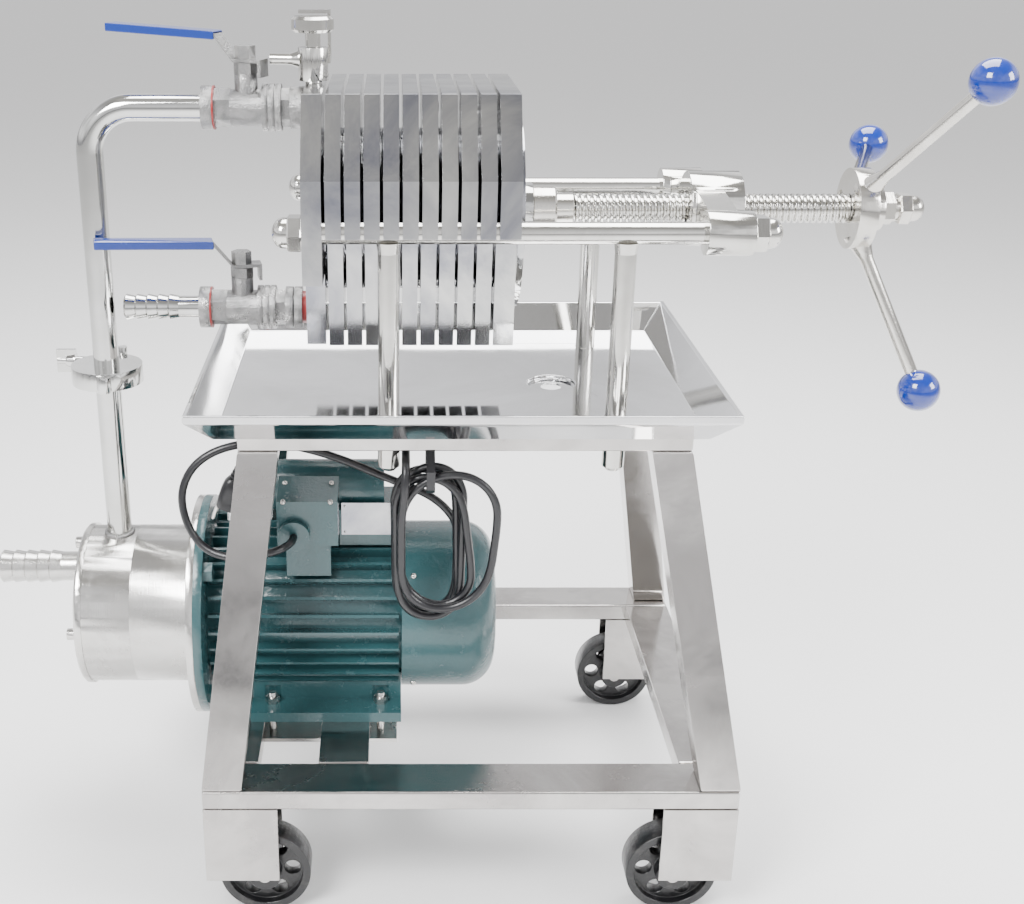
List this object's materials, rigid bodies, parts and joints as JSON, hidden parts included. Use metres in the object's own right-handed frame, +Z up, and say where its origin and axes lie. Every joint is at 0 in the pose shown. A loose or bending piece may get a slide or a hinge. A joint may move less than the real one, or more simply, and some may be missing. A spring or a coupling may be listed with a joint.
{
  "type": "plate filter press",
  "caption": "Mobile plate filter press: plates on guide rods closed by a hand screw over a drip tray, with feed pump and motor on a wheeled stand.",
  "frame": {"origin": "middle of the machine on the floor, under the centre of its bounding box without the motor lead", "axes": "+X along the guide rods towards the handwheel, +Y to the rear, +Z up"},
  "size_m": [0.946, 0.43, 0.846],
  "materials": {
    "frame_steel": "polished stainless tube",
    "tray_steel": "mirror polished stainless sheet",
    "polished_steel": "mirror polished stainless",
    "plate_steel": "polished stainless plate",
    "pump_steel": "turned stainless",
    "pipe_steel": "mirror polished stainless tube",
    "cast_steel": "cast stainless, blasted",
    "motor_paint": "dark teal enamel",
    "blue_knob": "glossy blue phenolic",
    "blue_grip": "dipped blue vinyl",
    "wheel_black": "black enamel",
    "gasket_red": "moulded",
    "lead_black": "flexible sheath"
  },
  "bodies": {
    "stand": {"base_long_bars": "frame_steel", "base_side_bars": "frame_steel", "capacitor_box": "motor_paint", "clamp_gasket": "gasket_red", "crosshead": "polished_steel", "drip_tray": "tray_steel", "fan_cover": "motor_paint", "feed_valve": "cast_steel", "foot_clamps": "pump_steel", "guide_rods": "polished_steel", "head_plate": "plate_steel", "inlet_barb": "pump_steel", "lead_hank": "lead_black", "lead_plug": "lead_black", "legs": "frame_steel", "lower_pipe": "pipe_steel", "motor_cross_bar": "frame_steel", "motor_flange": "motor_paint", "motor_frame": "motor_paint", "motor_lead": "lead_black", "outlet_barb": "pump_steel", "outlet_valve": "cast_steel", "pipe_clamp": "pump_steel", "plug_lead": "lead_black", "posts": "polished_steel", "pump_casing": "pump_steel", "pump_cover": "pump_steel", "rod_nuts": "polished_steel", "table_end_rails": "frame_steel", "table_long_rails": "frame_steel", "terminal_box": "motor_paint", "upper_pipe": "pipe_steel", "valve_gaskets": "gasket_red", "vent_cock": "polished_steel", "wheel_axles": "frame_steel", "wheel_brackets": "frame_steel"},
    "follower": {"follower_plate": "plate_steel"},
    "screw": {"press_screw": "polished_steel", "handwheel": "polished_steel", "handwheel_knobs": "blue_knob"},
    "plate_1": {"filter_plate_1": "plate_steel"},
    "plate_2": {"filter_plate_2": "plate_steel"},
    "plate_3": {"filter_plate_3": "plate_steel"},
    "plate_4": {"filter_plate_4": "plate_steel"},
    "plate_5": {"filter_plate_5": "plate_steel"},
    "plate_6": {"filter_plate_6": "plate_steel"},
    "plate_7": {"filter_plate_7": "plate_steel"},
    "plate_8": {"filter_plate_8": "plate_steel"},
    "plate_9": {"filter_plate_9": "plate_steel"},
    "wheel_front_left": {"wheel_front_left": "wheel_black"},
    "wheel_front_right": {"wheel_front_right": "wheel_black"},
    "wheel_rear_left": {"wheel_rear_left": "wheel_black"},
    "wheel_rear_right": {"wheel_rear_right": "wheel_black"},
    "feed_handle": {"feed_lever": "cast_steel", "feed_grip": "blue_grip"},
    "outlet_handle": {"outlet_lever": "cast_steel", "outlet_grip": "blue_grip"},
    "vent_handle": {"vent_knob": "polished_steel"}
  },
  "joints": [
    {"name": "press_slide", "type": "slide", "parent": "stand", "child": "follower", "axis": [1, 0, 0], "range_m": [0, 0.1]},
    {"name": "handwheel_turn", "type": "hinge", "parent": "follower", "child": "screw", "pos_m": [0.4, 0, 0.665], "axis": [1, 0, 0], "range_deg": [0, 5990]},
    {"name": "plate_1_slide", "type": "slide", "parent": "stand", "child": "plate_1", "axis": [1, 0, 0], "range_m": [0, 0.01]},
    {"name": "plate_2_slide", "type": "slide", "parent": "stand", "child": "plate_2", "axis": [1, 0, 0], "range_m": [0, 0.02]},
    {"name": "plate_3_slide", "type": "slide", "parent": "stand", "child": "plate_3", "axis": [1, 0, 0], "range_m": [0, 0.03]},
    {"name": "plate_4_slide", "type": "slide", "parent": "stand", "child": "plate_4", "axis": [1, 0, 0], "range_m": [0, 0.04]},
    {"name": "plate_5_slide", "type": "slide", "parent": "stand", "child": "plate_5", "axis": [1, 0, 0], "range_m": [0, 0.05]},
    {"name": "plate_6_slide", "type": "slide", "parent": "stand", "child": "plate_6", "axis": [1, 0, 0], "range_m": [0, 0.06]},
    {"name": "plate_7_slide", "type": "slide", "parent": "stand", "child": "plate_7", "axis": [1, 0, 0], "range_m": [0, 0.07]},
    {"name": "plate_8_slide", "type": "slide", "parent": "stand", "child": "plate_8", "axis": [1, 0, 0], "range_m": [0, 0.08]},
    {"name": "plate_9_slide", "type": "slide", "parent": "stand", "child": "plate_9", "axis": [1, 0, 0], "range_m": [0, 0.09]},
    {"name": "wheel_front_left_spin", "type": "hinge", "parent": "stand", "child": "wheel_front_left", "pos_m": [-0.1835, -0.19, 0.045], "axis": [0, 1, 0], "continuous": true},
    {"name": "wheel_front_right_spin", "type": "hinge", "parent": "stand", "child": "wheel_front_right", "pos_m": [0.219, -0.19, 0.045], "axis": [0, 1, 0], "continuous": true},
    {"name": "wheel_rear_left_spin", "type": "hinge", "parent": "stand", "child": "wheel_rear_left", "pos_m": [-0.1835, 0.19, 0.045], "axis": [0, 1, 0], "continuous": true},
    {"name": "wheel_rear_right_spin", "type": "hinge", "parent": "stand", "child": "wheel_rear_right", "pos_m": [0.219, 0.19, 0.045], "axis": [0, 1, 0], "continuous": true},
    {"name": "feed_lever_turn", "type": "hinge", "parent": "stand", "child": "feed_handle", "pos_m": [-0.194, 0, 0.78], "axis": [0, 0, 1], "range_deg": [-71, 19]},
    {"name": "outlet_lever_turn", "type": "hinge", "parent": "stand", "child": "outlet_handle", "pos_m": [-0.205, 0, 0.59], "axis": [0, 0, 1], "range_deg": [0, 78]},
    {"name": "vent_knob_turn", "type": "hinge", "parent": "stand", "child": "vent_handle", "pos_m": [-0.131, 0, 0.8], "axis": [0, 0, 1], "range_deg": [0, 360]}
  ],
  "couplings": [
    {"joint": "press_slide", "follows": "handwheel_turn", "m_per_rad": 0.00095493},
    {"joint": "plate_1_slide", "follows": "handwheel_turn", "m_per_rad": 0.000095493},
    {"joint": "plate_2_slide", "follows": "handwheel_turn", "m_per_rad": 0.00019099},
    {"joint": "plate_3_slide", "follows": "handwheel_turn", "m_per_rad": 0.00028648},
    {"joint": "plate_4_slide", "follows": "handwheel_turn", "m_per_rad": 0.00038197},
    {"joint": "plate_5_slide", "follows": "handwheel_turn", "m_per_rad": 0.00047746},
    {"joint": "plate_6_slide", "follows": "handwheel_turn", "m_per_rad": 0.00057296},
    {"joint": "plate_7_slide", "follows": "handwheel_turn", "m_per_rad": 0.00066845},
    {"joint": "plate_8_slide", "follows": "handwheel_turn", "m_per_rad": 0.00076394},
    {"joint": "plate_9_slide", "follows": "handwheel_turn", "m_per_rad": 0.00085944}
  ]
}
